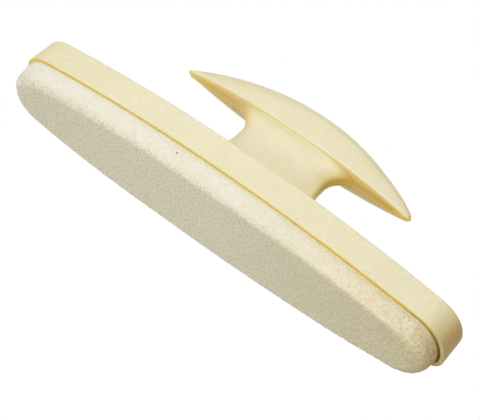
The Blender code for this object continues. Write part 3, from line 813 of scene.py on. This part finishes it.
class NAILBUFFER_OT_handle(bpy.types.Operator):
    """Build the polished handle: foot, waisted neck and leaf-shaped grip"""

    bl_idname = "nail_buffer.handle"
    bl_label = "Handle"

    STEPS = 192
    FOOT_PARTS = (0.0, 0.25, 0.5, 0.75, 0.97, 1.0)
    FLARE_ROWS = 20
    UNDERSIDE_ROWS = 14
    RIM_STEPS = 4
    DOME_ROWS = 26
    SEAM = 0.00012
    SEAM_STEP = 0.0001
    SEAM_SECTION = ((-1.0, -1.0), (0.3, -0.6), (0.75, 0.0), (0.3, 0.6), (-1.0, 1.0))
    TIP_SHARE = 0.62
    TIP_REACH = (0.022, 0.036)
    NOSE = 0.0009
    NOSE_FULLNESS = 0.0005
    # Share of the tips' fullness that goes to the keel, and to the spine on the left
    KEEL_SHARE = 0.4
    LEFT_TIP = 0.4

    def execute(self, context):
        tray, handle = sizes(context, "tray", "handle")
        self.handle = handle
        base, rows = HANDLE_LOW.z, self.FLARE_ROWS
        self.edge = tray.top_level + handle.neck_height
        waist_level = tray.top_level + handle.waist_height
        waist = rounded_oval(handle.waist_length / 2, handle.waist_width / 2, NECK_OVAL, self.STEPS)
        foot = rounded_oval(handle.foot_length / 2, handle.foot_width / 2, FOOT_OVAL, self.STEPS)
        top_half = handle.grip_width / 2 - handle.neck_top_margin
        neck_top = rounded_oval(handle.neck_top_length / 2, top_half, NECK_OVAL, self.STEPS)
        rings = [raised(foot * part, base) for part in self.FOOT_PARTS]
        flare = waist_level - base - handle.foot_edge
        for down, inwards in zip(*oval_point(np.arange(rows) / rows, FOOT_FILLET)):
            level = base + handle.foot_edge + flare * (1 - down)
            rings.append(raised(foot + (waist - foot) * inwards, level))
        under = self.underside(neck_top)
        for upright, rise in zip(*oval_point(np.arange(rows + 1) / rows, TOP_FILLET)):
            ring = waist + (neck_top - waist) * (1 - upright)
            rings.append(raised(ring, waist_level + (under - waist_level) * rise))
        under_rim = self.leaf(handle.edge_radius)
        for i in range(1, self.UNDERSIDE_ROWS + 1):
            ring = neck_top + (under_rim - neck_top) * (i / self.UNDERSIDE_ROWS)
            rings.append(raised(ring, self.underside(ring)))
        for along, up in round_off(handle.edge_radius, self.RIM_STEPS)[1:]:
            rings.append(raised(self.leaf(along), self.edge + up))
        rim = self.leaf(0.0)
        dome = self.spine_rise(rim[:, 0])
        for narrower, rise in zip(*oval_point(np.arange(1, self.DOME_ROWS + 1) / self.DOME_ROWS, 2)):
            rings.append(raised(rim * (1.0, narrower), self.edge + handle.edge_radius + dome * rise))
        grip = tidy(skin("handle_moulding", rings))
        for column in (0, self.STEPS // 2):
            profile = np.array([ring[column] for ring in rings[len(self.FOOT_PARTS):]])
            cut(grip, self.parting_line(profile), "UNION")
        tidy(grip)
        dressed(grip, ivory_gloss(handle.plastic, self.edge), "ivory_gloss", UPPER, "handle")
        return {"FINISHED"}

    def parting_line(self, points):
        """A thin seam along one end of the moulding, from its foot to the tip of the grip."""
        keep = np.concatenate([[True], np.linalg.norm(np.diff(points, axis=0), axis=1) > self.SEAM_STEP])
        points = points[keep]
        points = points[np.abs(points[:, 0]) < self.handle.grip_length / 2 - 2 * self.NOSE]
        outwards = np.sign(points[0, 0])
        section = np.array(self.SEAM_SECTION) * (outwards, 1.0) * self.SEAM
        return swept("seam", points, section)

    def leaf_half_width(self, x, inset):
        end = self.handle.grip_length / 2 - inset
        left = 1 - np.minimum(np.abs(x) / (end + self.NOSE_FULLNESS), 1.0) ** 2
        fullness = np.minimum((left ** (2 * LEAF_POWER) + (self.TIP_SHARE * np.sqrt(left)) ** 4) ** 0.25, 1.0)
        over = np.clip((np.abs(x) - end + self.NOSE) / self.NOSE, 0.0, 1.0)
        return (self.handle.grip_width / 2 - inset) * fullness * np.sqrt(1 - over**2)

    def leaf(self, inset):
        """The grip's outline from above: a leaf with a point at each end."""
        c, s = circle(self.STEPS)
        x = (self.handle.grip_length / 2 - inset) * c
        return np.column_stack([x, np.copysign(self.leaf_half_width(x, inset), s)])

    def underside(self, ring):
        """Level of the grip's underside, a shallow keel along the middle."""
        handle, away = self.handle, np.abs(ring[:, 0])
        width = np.maximum(self.leaf_half_width(ring[:, 0], handle.edge_radius), WELD)
        drop = handle.keel_drop + self.KEEL_SHARE * handle.tip_fullness * eased(away, *self.TIP_REACH)
        end = handle.grip_length / 2 - handle.edge_radius
        drop = drop * np.sqrt(1 - np.clip(1 + (away - end) / (2 * self.NOSE), 0.0, 1.0) ** 2)
        return self.edge - drop * (1 - np.minimum(np.abs(ring[:, 1]) / width, 1.0))

    def spine_rise(self, x):
        """Height of the grip's spine over its edge: a long arc that rounds off at the tips."""
        handle, away = self.handle, np.abs(x)
        drop = handle.spine_radius - np.sqrt(handle.spine_radius**2 - (x - handle.spine_shift) ** 2)
        fullness = handle.tip_fullness * np.where(x < 0.0, self.LEFT_TIP, 1.0)
        drop = drop - fullness * eased(away, *self.TIP_REACH)
        rise = np.maximum(handle.grip_rise - drop - handle.edge_radius, 0.0)
        over = np.clip((away - (handle.grip_length / 2 - handle.tip_radius)) / handle.tip_radius, 0.0, 1.0)
        return rise * np.sqrt(1 - over**2)


class NAILBUFFER_OT_screws(bpy.types.Operator):
    """Build the two countersunk screws that hold the handle"""

    bl_idname = "nail_buffer.screws"
    bl_label = "Handle Screws"

    HEAD = 0.0028
    RIM = 0.0002
    CORE = 0.0011
    THREAD = 0.00145
    PITCH = 0.0011
    LONG = 0.0100
    POINT = 0.0014
    BLUNT = 0.0001
    RECESS = (0.0030, 0.0007, 0.0018)
    RECESS_TAPER = 0.6
    STEPS = 40
    ROWS_A_TURN = 10

    def execute(self, context):
        tray, handle = sizes(context, "tray", "handle")
        level = tray.top_level - tray.roof
        finish = plated_steel()
        for side, x in (("left", -handle.screw_spacing / 2), ("right", handle.screw_spacing / 2)):
            place = (x, 0.0, level)
            screw = tidy(skin(f"countersunk_screw_{side}", turned(self.profile(), place, self.STEPS)))
            for turn in (0.0, QUARTER):
                form = bmesh.new()
                for corner in block(form, place, self.RECESS, turn):
                    if corner.co.z > level:
                        corner.co = Vector((x, 0.0, corner.co.z)).lerp(corner.co, self.RECESS_TAPER)
                cut(screw, formed("recess", form), "DIFFERENCE")
            dressed(tidy(screw), finish, "plated_steel", UPPER, f"handle_screw_{side}")
        return {"FINISHED"}

    def profile(self):
        """Radius and height from the flat of the head to the point. The radius winds round in the thread."""
        shoulder, tip = self.HEAD - self.CORE, self.LONG - self.POINT
        rows = [(0.0, 0.0), (self.HEAD * 0.5, 0.0), (self.HEAD - self.RIM, 0.0), (self.HEAD, self.RIM)]
        rows.append((self.CORE, shoulder))
        number = round((tip - shoulder) / self.PITCH * self.ROWS_A_TURN)
        for i in range(1, number + 1):
            level = shoulder + (tip - shoulder) * i / number
            fade = max(0.0, min(1.0, (level - shoulder) / self.PITCH, (tip - level) / self.PITCH))
            phase = (level / self.PITCH - np.arange(self.STEPS) / self.STEPS) % 1.0
            crest = np.maximum(0.0, 1 - 3 * np.abs(phase - 0.5)) * fade
            rows.append((self.CORE + (self.THREAD - self.CORE) * crest, level))
        return rows + [(self.CORE * 0.25, self.LONG - self.BLUNT), (0.0, self.LONG)]


# A section of the pad: its crown, how upright its neck is, how far it stands out and how much shorter its end is
Section = namedtuple("Section", "width height crown_power neck_power swell shortening taper")


class PadShape:
    """Sections of the pad cartridge inside the tray, before the leather settles."""

    SLACK = 0.00018
    FINE = 400
    SIDE = Section(0.0036, 0.0030, 3.4, 7.0, 0.0012, 0.0, 0.0)
    # Sections towards the ends, with the places at which each takes over from the one before
    LEFT = (
        (0.012, 0.045, Section(0.0030, 0.0019, 4.5, 8.0, 0.0013, 0.0, 0.0)),
        (0.052, 0.066, Section(0.0020, 0.0014, 2.6, 6.5, 0.0014, -0.0003, 0.0005)),
    )
    RIGHT = (
        (0.012, 0.045, Section(0.0031, 0.0020, 4.5, 4.5, 0.0010, 0.0, 0.0)),
        (0.057, 0.068, Section(0.0044, 0.0038, 2.1, 4.5, 0.0011, 0.0005, 0.0005)),
    )
    # The near edge towards the left end, which is worn rounder
    NEAR_LEFT = (
        (0.012, 0.045, Section(0.0050, 0.0024, 2.8, 8.0, 0.0013, 0.0, 0.0)),
        (0.052, 0.066, Section(0.0052, 0.0024, 2.2, 6.5, 0.0014, -0.0003, 0.0005)),
    )
    NEAR = (0.0020, 0.0075)

    def __init__(self, tray, pad, plan):
        self.tray, self.pad, self.plan = tray, pad, plan
        self.at_lip = tray.wall + pad.clearance

    def ring(self, inset, level, shortening=0.0):
        return self.plan.ring(inset, level, self.pad.end_clearance - self.pad.clearance + shortening)

    def inset(self, level):
        """Inset of the leather's outer face inside the tray, where it follows the drafted wall."""
        return self.at_lip + draft_inset(self.tray, level)

    def lower(self, depth, crown_rows, neck_rows):
        """The pad's outside, or a skin some depth inside it: its crown, swollen edge and neck up to the lip."""
        rings = self.family(self.SIDE, depth, crown_rows, neck_rows)
        for side, steps, near in ((-1, self.LEFT, False), (1, self.RIGHT, False), (-1, self.NEAR_LEFT, True)):
            for first, last, section in steps:
                others = self.family(section, depth, crown_rows, neck_rows)
                parts = [eased(side * ring[:, :1], first, last) for ring in rings]
                if near:
                    parts = [part * eased(-ring[:, 1:2], *self.NEAR) for part, ring in zip(parts, rings)]
                rings = [ring + (other - ring) * part for ring, other, part in zip(rings, others, parts)]
        return rings

    def family(self, section, depth, crown_rows, neck_rows):
        """Rings of one section all round: a rounded crown, then the neck up to the lip."""
        lip, short = self.tray.lip_level, section.shortening
        width, height = section.width - depth, section.height - depth
        swell = self.at_lip - section.swell + self.SLACK + depth
        fine = np.linspace(0.0, 1.0, self.FINE)
        along, up = oval_point(fine, section.crown_power)
        run = run_along(along * height, up * width)
        parts = np.interp(np.linspace(0.0, run[-1], crown_rows + 1), run, fine)
        rings = []
        for along, up in zip(*oval_point(parts, section.crown_power)):
            level = depth + height * (1 - along)
            rings.append(self.ring(swell + width * (1 - up) + section.taper * (1 - level / lip), level, short))
        for i in range(1, neck_rows + 1):
            part = math.sin(QUARTER * i / neck_rows)
            drawn = 1 - (1 - part**section.neck_power) ** (1 / section.neck_power)
            level = section.height + (lip - section.height) * part
            inset = swell + (section.swell - self.SLACK) * drawn + section.taper * (1 - level / lip)
            rings.append(self.ring(inset, level, short * (1 - drawn)))
        return rings


# The stretch along the buffer over which the nap turns from matted to curly
CURLY = (-0.010, 0.060)


class NAILBUFFER_OT_leather(bpy.types.Operator):
    """Build the napped chamois cover with its hem"""

    bl_idname = "nail_buffer.leather"
    bl_label = "Chamois Cover"

    SPACING = 0.00035
    COARSE = 0.0016
    CREASE = math.radians(60)
    # Rows of rings on the crown and the neck, and in the flats at both ends of the stack
    OUTER_ROWS = (20, 10)
    INNER_ROWS = (6, 3)
    FLAT_ROWS = (34, 5)
    COARSE_ROWS = (7, 5)
    COARSE_FLAT_ROWS = (7, 4)
    HEM_STEPS = 5
    HEM_PARTS = (0.3, 0.6, 0.9, 1.0)
    ENLARGED = 10.0
    FRAMES = 20
    # Out of a hundred places, those that the cloth moves by no more than the slack
    WITHIN_SLACK = 90
    NEIGHBOURS = 4
    FURTHEST = 0.0004
    LIP_FADE = 0.0005
    CLUMP = 0.0009
    RELIEF = 0.00034
    MATTED_RELIEF = 0.25

    def execute(self, context):
        tray, pad = sizes(context, "tray", "pad")
        shape = PadShape(tray, pad, Plan(tray, self.SPACING))
        top, fold = LEATHER_TOP, LEATHER_TOP - pad.leather
        hem_start, hem_end = shape.inset(fold) + pad.leather, shape.inset(top) + pad.hem
        rings = shape.lower(0.0, *self.OUTER_ROWS)
        for along, down in round_off(pad.leather, self.HEM_STEPS)[::-1]:
            rings.append(shape.ring(shape.inset(fold) + along, top - down))
        for part in self.HEM_PARTS:
            rings.append(shape.ring(hem_start + (hem_end - hem_start) * part, top))
        rings += [shape.ring(hem_end, fold), shape.ring(hem_start, fold)]
        rings += shape.lower(pad.leather, *self.INNER_ROWS)[::-1]
        cover = tidy(skin("chamois_leather", filled(rings, *self.FLAT_ROWS)), self.CREASE)
        self.settle(cover, PadShape(tray, pad, Plan(tray, self.COARSE)), tray.lip_level)
        self.raise_nap(cover)
        dressed(cover, napped_chamois(pad.chamois), "chamois", CARTRIDGE, "chamois_cover")
        return {"FINISHED"}

    def settle(self, cover, shape, lip):
        """Lets a coarse copy swell under the felt's pressure as cloth, and moves the leather with it."""
        rings = filled(shape.lower(0.0, *self.COARSE_ROWS), *self.COARSE_FLAT_ROWS)
        bag = tidy(skin("settling", rings))
        before = np.array([v.co for v in bag.data.vertices])
        bag.data.transform(Matrix.Scale(self.ENLARGED, 4))
        held = bag.vertex_groups.new(name="held")
        inner = {tuple(np.round(point, 6)) for ring in rings[: self.COARSE_FLAT_ROWS[0]] for point in ring}
        for index, point in enumerate(before):
            if point[2] > lip - WELD or tuple(np.round(point, 6)) in inner:
                held.add([index], 1.0, "REPLACE")
        cloth = bag.modifiers.new("settling", "CLOTH").settings
        cloth.quality, cloth.mass = 6, 0.3
        cloth.tension_stiffness = cloth.compression_stiffness = 10.0
        cloth.shear_stiffness, cloth.bending_stiffness = 5.0, 0.5
        cloth.vertex_group_mass = held.name
        cloth.use_pressure, cloth.uniform_pressure_force = True, 4.0
        cloth.effector_weights.gravity = 0.0
        scene = bpy.context.scene
        for frame_number in range(1, self.FRAMES + 1):
            scene.frame_set(frame_number)
        shaped = bag.evaluated_get(bpy.context.evaluated_depsgraph_get()).to_mesh()
        moved = np.array([v.co for v in shaped.vertices]) / self.ENLARGED - before
        scene.frame_set(1)
        bpy.data.objects.remove(bag)
        moved *= shape.SLACK / np.percentile(np.linalg.norm(moved, axis=1), self.WITHIN_SLACK)
        far = np.linalg.norm(moved, axis=1)
        moved *= np.minimum(1.0, self.FURTHEST / np.maximum(far, WELD))[:, None]
        tree = KDTree(len(before))
        for index, point in enumerate(before):
            tree.insert(point, index)
        tree.balance()
        for vert in cover.data.vertices:
            if vert.co.z < lip:
                near = tree.find_n(vert.co, self.NEIGHBOURS)
                weights = [1 / (away + WELD) for _, _, away in near]
                shift = sum(moved[index] * weight for (_, index, _), weight in zip(near, weights)) / sum(weights)
                vert.co += Vector(shift) * min(1.0, (lip - vert.co.z) / self.LIP_FADE)
                vert.co.z = max(vert.co.z, 0.0)

    def raise_nap(self, cover):
        """Gives the leather the relief of matted nap, higher where it is curly."""
        clumps = bpy.data.textures.new("nap_clumps", "CLOUDS")
        clumps.noise_scale, clumps.noise_depth = self.CLUMP, 3
        curly = cover.vertex_groups.new(name="curly")
        for vert in cover.data.vertices:
            weight = self.MATTED_RELIEF + (1 - self.MATTED_RELIEF) * float(eased(vert.co.x, *CURLY))
            curly.add([vert.index], weight, "REPLACE")
        step = cover.modifiers.new("nap", "DISPLACE")
        step.texture, step.texture_coords, step.vertex_group = clumps, "LOCAL", curly.name
        step.strength, step.mid_level = self.RELIEF, 0.6
        settled(cover)


class NAILBUFFER_OT_nap(bpy.types.Operator):
    """Raise loose curly fibres out of the chamois below the lip"""

    bl_idname = "nail_buffer.nap"
    bl_label = "Nap Fibres"

    SEED = 7
    SIDES = 3
    ROWS = 5
    THICKNESS = 0.00003
    LOWEST = 0.00080
    STEEPEST = -0.6
    OUTWARDS = 0.3
    DENSER = (0.020, 0.066)
    SPARSEST = 0.15
    # Shares of the full length: a fibre in the matted part, the shortest one and the part that is rooted
    MATTED = 0.35
    SHORTEST = 0.5
    ROOTED = 0.1
    BOW = 0.9
    HOOK = 0.35
    HOOK_TURN = 1.2 * math.pi
    TAPER = 0.6

    def execute(self, context):
        tray, pad = sizes(context, "tray", "pad")
        cover = bpy.data.objects.get("chamois_leather")
        if cover is None:
            raise RuntimeError("The nap grows out of the leather, so the leather is built first")
        draw = np.random.default_rng(self.SEED)
        roots, normals = self.roots(cover.data, draw, pad.nap_count, tray.lip_level)
        number = len(roots)
        curly = eased(roots[:, 0], *CURLY)[:, None]
        tall = pad.nap_length * (self.MATTED + (1 - self.MATTED) * curly)
        tall = tall * draw.uniform(self.SHORTEST, 1.0, (number, 1))
        lean = draw.normal(0.0, 1.0, (number, 3))
        lean -= (lean * normals).sum(1)[:, None] * normals
        lean /= np.linalg.norm(lean, axis=1)[:, None]
        twist = np.cross(normals, lean)
        rings = []
        for row in range(self.ROWS + 1):
            part = row / self.ROWS
            rise = 0.6 * part * (1 - 0.5 * part) - self.ROOTED
            hook = math.sin(part * self.HOOK_TURN) * self.HOOK * curly
            middle = roots + tall * (normals * rise + lean * part**2 * self.BOW + twist * hook)
            middle[:, 2] = np.maximum(middle[:, 2], self.THICKNESS)
            rings.append((middle, self.THICKNESS * (1 - self.TAPER * part)))
        nap = self.threads(rings, lean, twist, number)
        dressed(nap, bpy.data.materials["chamois"], "chamois", CARTRIDGE, "chamois_cover")
        return {"FINISHED"}

    def roots(self, mesh, draw, number, lip):
        """Random places on the exposed side of the leather, denser towards its right end."""
        mesh.calc_loop_triangles()
        places = np.array([v.co for v in mesh.vertices])
        corners = places[np.array([t.vertices for t in mesh.loop_triangles])]
        middle = corners.mean(1)
        cross = np.cross(corners[:, 1] - corners[:, 0], corners[:, 2] - corners[:, 0])
        area = np.linalg.norm(cross, axis=1)
        normal = cross / np.maximum(area, 1e-12)[:, None]
        away = normal[:, :2] * np.sign(middle[:, :2])
        shown = (middle[:, 2] > self.LOWEST) & (middle[:, 2] < lip - self.LOWEST) & (normal[:, 2] > self.STEEPEST)
        shown &= away.max(1) > self.OUTWARDS
        weight = area * shown * (self.SPARSEST + eased(middle[:, 0], *self.DENSER) ** 2)
        chosen = draw.choice(len(area), number, p=weight / weight.sum())
        return middle[chosen], normal[chosen]

    def threads(self, rings, lean, twist, number):
        """One mesh of all the fibres, each a thin tapering tube."""
        rows, sides = len(rings), self.SIDES
        c, s = circle(sides)
        across = lean[:, None, :] * c[None, :, None] + twist[:, None, :] * s[None, :, None]
        points = np.stack([middle[:, None, :] + across * radius for middle, radius in rings], axis=1)
        first = np.arange(sides)
        second = np.roll(first, -1)
        row = np.column_stack([first, second, second + sides, first + sides])
        starts = (np.arange(number) * rows * sides)[:, None, None]
        quads = np.concatenate([row + i * sides for i in range(rows - 1)])[None] + starts
        ends = np.array([first[::-1], first + (rows - 1) * sides])[None] + starts
        faces = quads.reshape(-1, 4).tolist() + ends.reshape(-1, sides).tolist()
        nap = mesh_of("chamois_nap", points.reshape(-1, 3).tolist(), faces)
        nap.data.shade_smooth()
        return nap


class NAILBUFFER_OT_felt(bpy.types.Operator):
    """Build the felt cushion between the leather and the board"""

    bl_idname = "nail_buffer.felt"
    bl_label = "Felt Cushion"

    SPACING = 0.0015
    GAP = 0.0003
    ROWS = (10, 5)
    FLAT_ROWS = 8

    def execute(self, context):
        tray, pad = sizes(context, "tray", "pad")
        rings = PadShape(tray, pad, Plan(tray, self.SPACING)).lower(pad.leather + self.GAP, *self.ROWS)
        cushion = tidy(skin("felt_cushion", filled(rings, self.FLAT_ROWS, self.FLAT_ROWS)))
        dressed(cushion, wool_felt(pad.felt), "wool_felt", CARTRIDGE, "felt_pad")
        return {"FINISHED"}


class NAILBUFFER_OT_board(bpy.types.Operator):
    """Build the beech backing board"""

    bl_idname = "nail_buffer.board"
    bl_label = "Backing Board"

    SPACING = 0.0012
    GAP = 0.0003
    EASE = 0.0003
    EASE_STEPS = 4
    FLAT_ROWS = 6

    def execute(self, context):
        tray, pad = sizes(context, "tray", "pad")
        shape = PadShape(tray, pad, Plan(tray, self.SPACING))
        inset = shape.inset(LEATHER_TOP) + pad.leather + self.GAP
        low, high = BOARD_LOW.z, BOARD_HIGH.z
        rounds = round_off(self.EASE, self.EASE_STEPS)
        rings = [shape.ring(inset + 2 * self.EASE, low)]
        rings += [shape.ring(inset + along, low + up) for along, up in rounds]
        rings += [shape.ring(inset + along, high - down) for along, down in rounds[::-1]]
        rings.append(shape.ring(inset + 2 * self.EASE, high))
        rings = filled(rings, self.FLAT_ROWS, self.FLAT_ROWS)
        board = even_faces(tidy(skin("beech_backing_board", rings)))
        dressed(board, beech_board(pad.beech), "beech_board", CARTRIDGE, "backing_board")
        return {"FINISHED"}


class NAILBUFFER_OT_staples(bpy.types.Operator):
    """Build the wire staples that hold the hem"""

    bl_idname = "nail_buffer.staples"
    bl_label = "Hem Staples"

    NUMBER = 10
    BEND = 0.0005
    BEND_STEPS = 6
    SIDES = 12
    SQUARENESS = 0.55
    TIP = 0.0006
    CREASE = math.radians(50)

    def execute(self, context):
        (pad,) = sizes(context, "pad")
        finish = plated_steel()
        radius = pad.staple_wire / 2
        corners = np.column_stack(circle(self.SIDES, 0.5))
        section = radius * signed_power(corners, self.SQUARENESS)
        for number in range(1, self.NUMBER + 1):
            node = f"hem_staple_{number:02d}"
            low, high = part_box(node)
            middle = (low + high) / 2
            points = np.array([v.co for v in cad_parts[node].data.vertices])[:, :2]
            spread = points - points.mean(0)
            axis = np.linalg.svd(spread, full_matrices=False)[2][0]
            path = self.path(max(abs(spread @ axis)) - radius, high.z - radius, low.z)
            staple = swept(f"staple_wire_{number:02d}", path, section, self.CREASE)
            heading = Matrix.Rotation(math.atan2(axis[1], axis[0]), 4, "Z")
            staple.data.transform(Matrix.Translation((middle.x, middle.y, 0.0)) @ heading)
            dressed(staple, finish, "plated_steel", CARTRIDGE, node)
        return {"FINISHED"}

    def path(self, half, top, foot):
        """Middle line of the wire: up one leg, over the crown and down the other."""
        right = [(half, 0.0, foot), (half, 0.0, foot + self.TIP)]
        right += [(half - down, 0.0, top - out) for out, down in round_off(self.BEND, self.BEND_STEPS)]
        crown = [(half / 2, 0.0, top), (0.0, 0.0, top), (-half / 2, 0.0, top)]
        return np.array(right + crown + [(-x, y, z) for x, y, z in right[::-1]])


# Stage


class NAILBUFFER_OT_stage(bpy.types.Operator):
    """Set up the camera, the floor, the white surroundings and the lamps"""

    bl_idname = "nail_buffer.stage"
    bl_label = "Stage"

    FLOOR_HALF = 1.6
    FLOOR_DROP = 0.0002
    LAMP_DISTANCE = 1.2
    LAMP_SIZE = 0.9
    KEY_FROM = (-0.10, -0.859, -0.502)
    TOP_FROM = (-0.25, -0.45, 1.0)
    SENSOR = 36.0
    CLIP = (0.1, 20.0)
    # Tone of the light that comes from the right
    WARM = (1.15, 0.88, 0.52)

    def execute(self, context):
        tray, stage = sizes(context, "tray", "stage")
        self.add_camera(context.scene, stage, tray.lip_level)
        self.add_floor(stage.floor)
        self.add_world(context.scene, stage.ambient)
        self.add_lamp("key", self.KEY_FROM, stage.key)
        self.add_lamp("top", self.TOP_FROM, stage.top)
        context.scene.view_settings.view_transform = "Standard"
        return {"FINISHED"}

    def add_camera(self, scene, stage, level):
        yaw, pitch, roll = stage.azimuth, stage.elevation, stage.roll
        back = Vector((math.sin(yaw) * math.cos(pitch), -math.cos(yaw) * math.cos(pitch), math.sin(pitch)))
        across = Vector((math.cos(yaw), math.sin(yaw), 0.0))
        upright = back.cross(across)
        right = across * math.cos(roll) + upright * math.sin(roll)
        up = upright * math.cos(roll) - across * math.sin(roll)
        data = bpy.data.cameras.new("camera")
        data.sensor_fit, data.sensor_width, data.lens = "HORIZONTAL", self.SENSOR, stage.focal_length
        data.clip_start, data.clip_end = self.CLIP
        place = Vector((0.0, 0.0, level)) + back * stage.distance + right * stage.shift_right
        scene.camera = placed("camera", data)
        scene.camera.matrix_world = Matrix.Translation(place) @ Matrix((right, up, back)).transposed().to_4x4()

    def add_floor(self, tone):
        """A pale floor that is seen from above only, because the photograph looks up past it."""
        half = self.FLOOR_HALF
        corners = [(-half, -half, 0.0), (half, -half, 0.0), (half, half, 0.0), (-half, half, 0.0)]
        floor = mesh_of("floor", corners, [(0, 1, 2, 3)])
        floor.location.z = -self.FLOOR_DROP
        made = Finish("floor_paint", {"Roughness": 0.8})
        made.link(made.mix(made.noise(0.02, 3.0), tinted(tone, 0.985), tinted(tone, 1.015)), "Base Color")
        behind = made.node("NewGeometry").outputs["Backfacing"]
        clear = made.node("BsdfTransparent").outputs["BSDF"]
        blend = made.node("MixShader", {0: behind, 1: made.shader.outputs["BSDF"], 2: clear})
        made.tree.links.new(blend.outputs["Shader"], made.tree.nodes["Material Output"].inputs["Surface"])
        floor.data.materials.append(made.material)
        floor.visible_diffuse = floor.visible_glossy = floor.visible_transmission = floor.visible_shadow = False

    def add_world(self, scene, ambient):
        """White where it is seen, and even light that is warmer from the right where it lights the buffer."""
        scene.world = bpy.data.worlds.new("surroundings")
        scene.world.use_nodes = True
        made = Nodes(scene.world.node_tree)
        made.tree.nodes.clear()
        right = made.span(made.split(made.node("TexCoord").outputs["Generated"])["X"], -0.1, 0.9)
        lit = made.node("Background", {"Color": made.mix(right, WHITE, self.WARM), "Strength": ambient})
        seen = made.node("Background", {"Color": (*WHITE, 1.0), "Strength": 1.0})
        path = made.node("LightPath").outputs
        shown = made.most(path["Is Camera Ray"], path["Is Glossy Ray"], path["Is Transmission Ray"])
        blend = made.node("MixShader", {0: shown, 1: lit.outputs[0], 2: seen.outputs[0]})
        made.node("OutputWorld", {"Surface": blend.outputs[0]})

    def add_lamp(self, name, direction, level):
        """A soft square lamp whose level is the exposure that it gives a face turned to it."""
        towards = Vector(direction).normalized()
        data = bpy.data.lights.new(name, "AREA")
        data.shape, data.size = "SQUARE", self.LAMP_SIZE
        data.energy = level * (math.pi * self.LAMP_DISTANCE) ** 2
        lamp = placed(name, data)
        lamp.location = towards * self.LAMP_DISTANCE
        lamp.rotation_mode = "QUATERNION"
        lamp.rotation_quaternion = towards.to_track_quat("Z", "Y")
        lamp.visible_camera = False


OPERATORS = (
    NAILBUFFER_OT_stage,
    NAILBUFFER_OT_tray,
    NAILBUFFER_OT_handle,
    NAILBUFFER_OT_screws,
    NAILBUFFER_OT_leather,
    NAILBUFFER_OT_nap,
    NAILBUFFER_OT_felt,
    NAILBUFFER_OT_board,
    NAILBUFFER_OT_staples,
)
GROUPS = {
    "nail_buffer_tray": NAILBUFFER_PG_tray,
    "nail_buffer_handle": NAILBUFFER_PG_handle,
    "nail_buffer_pad": NAILBUFFER_PG_pad,
    "nail_buffer_stage": NAILBUFFER_PG_stage,
}


class NAILBUFFER_PT_sidebar(bpy.types.Panel):
    """The nail buffer's pieces and sizes"""

    bl_idname = "NAILBUFFER_PT_sidebar"
    bl_label = "Nail Buffer"
    bl_space_type = "VIEW_3D"
    bl_region_type = "UI"
    bl_category = "Nail Buffer"

    def draw(self, context):
        for operator in OPERATORS:
            self.layout.operator(operator.bl_idname)
        for name, group in GROUPS.items():
            box = self.layout.box()
            box.label(text=group.__doc__)
            for key in group.__annotations__:
                box.prop(getattr(context.scene, name), key)


CLASSES = (*GROUPS.values(), *OPERATORS, NAILBUFFER_PT_sidebar)


def register():
    for cls in CLASSES:
        bpy.utils.register_class(cls)
    for name, group in GROUPS.items():
        setattr(bpy.types.Scene, name, bpy.props.PointerProperty(type=group))


def unregister():
    for name in GROUPS:
        delattr(bpy.types.Scene, name)
    for cls in reversed(CLASSES):
        bpy.utils.unregister_class(cls)


def main():
    register()
    for operator in OPERATORS:
        group, name = operator.bl_idname.split(".")
        getattr(getattr(bpy.ops, group), name)()


if __name__ == "__main__":
    main()
